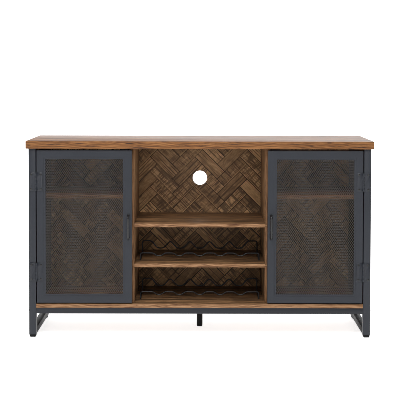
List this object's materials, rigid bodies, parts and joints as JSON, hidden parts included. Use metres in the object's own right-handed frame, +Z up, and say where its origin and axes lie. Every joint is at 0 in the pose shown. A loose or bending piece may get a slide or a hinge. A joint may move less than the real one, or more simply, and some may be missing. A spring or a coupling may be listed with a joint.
{
  "type": "tv stand",
  "caption": "Wide media cabinet with a steel tube frame, wooden top and shelves, hinged mesh doors at the ends, and open centre shelves with wire bottle racks.",
  "frame": {"origin": "on the floor, under the middle of the overall box, handles included", "axes": "+X to the right seen from the front, -Y out of the front, +Z up"},
  "size_m": [1.473, 0.4192, 0.838],
  "materials": {
    "top_wood": "rustic brown wood print with knots and dark streaks, satin",
    "board_wood": "rustic light brown wood print, satin",
    "panel_wood": "rustic brown wood print, satin",
    "parquet": "dark brown herringbone print with saw marks, satin",
    "frame_steel": "slate grey powder coat, fine texture",
    "mesh_steel": "slate grey powder coat",
    "black_steel": "black satin powder coat",
    "handle_black": "black satin coat",
    "foot_plastic": "black moulded plastic",
    "catch_plastic": "black moulded plastic",
    "zinc_plate": "zinc plated sheet"
  },
  "bodies": {
    "cabinet": {"top_board": "top_wood", "floor_board": "board_wood", "centre_shelf_upper": "board_wood", "centre_shelf_lower": "board_wood", "side_shelf_left": "board_wood", "side_shelf_right": "board_wood", "side_panel_left": "panel_wood", "side_panel_right": "panel_wood", "divider_left": "panel_wood", "divider_right": "panel_wood", "back_panel_left": "parquet", "back_panel_centre": "parquet", "back_panel_right": "parquet", "post_front_left": "frame_steel", "post_front_right": "frame_steel", "post_rear_left": "frame_steel", "post_rear_right": "frame_steel", "floor_rail_left": "frame_steel", "floor_rail_right": "frame_steel", "side_rail_lower_left": "frame_steel", "side_rail_lower_right": "frame_steel", "side_rail_upper_left": "frame_steel", "side_rail_upper_right": "frame_steel", "front_rail": "frame_steel", "rear_rail": "frame_steel", "centre_rail": "frame_steel", "glide_front_left": "foot_plastic", "glide_front_right": "foot_plastic", "glide_rear_left": "foot_plastic", "glide_rear_right": "foot_plastic", "support_foot": "foot_plastic", "support_leg": "black_steel", "bottle_rack_upper": "black_steel", "bottle_rack_lower": "black_steel", "magnetic_catch_left": "catch_plastic", "hinge_upper_left_post_leaf": "frame_steel", "hinge_lower_left_post_leaf": "frame_steel", "magnetic_catch_right": "catch_plastic", "hinge_upper_right_post_leaf": "frame_steel", "hinge_lower_right_post_leaf": "frame_steel"},
    "door_left": {"door_left_hinge_stile": "frame_steel", "door_left_lock_stile": "frame_steel", "door_left_top_rail": "frame_steel", "door_left_bottom_rail": "frame_steel", "door_left_mesh": "mesh_steel", "door_left_handle": "handle_black", "strike_plate_left": "zinc_plate", "hinge_upper_left_door_leaf": "frame_steel", "hinge_lower_left_door_leaf": "frame_steel"},
    "door_right": {"door_right_hinge_stile": "frame_steel", "door_right_lock_stile": "frame_steel", "door_right_top_rail": "frame_steel", "door_right_bottom_rail": "frame_steel", "door_right_mesh": "mesh_steel", "door_right_handle": "handle_black", "strike_plate_right": "zinc_plate", "hinge_upper_right_door_leaf": "frame_steel", "hinge_lower_right_door_leaf": "frame_steel"}
  },
  "joints": [
    {"name": "door_left_hinge", "type": "hinge", "parent": "cabinet", "child": "door_left", "pos_m": [-0.6942, -0.18215, 0.4725], "axis": [0, 0, -1], "range_deg": [0, 110]},
    {"name": "door_right_hinge", "type": "hinge", "parent": "cabinet", "child": "door_right", "pos_m": [0.6942, -0.18215, 0.4725], "axis": [0, 0, 1], "range_deg": [0, 110]}
  ]
}
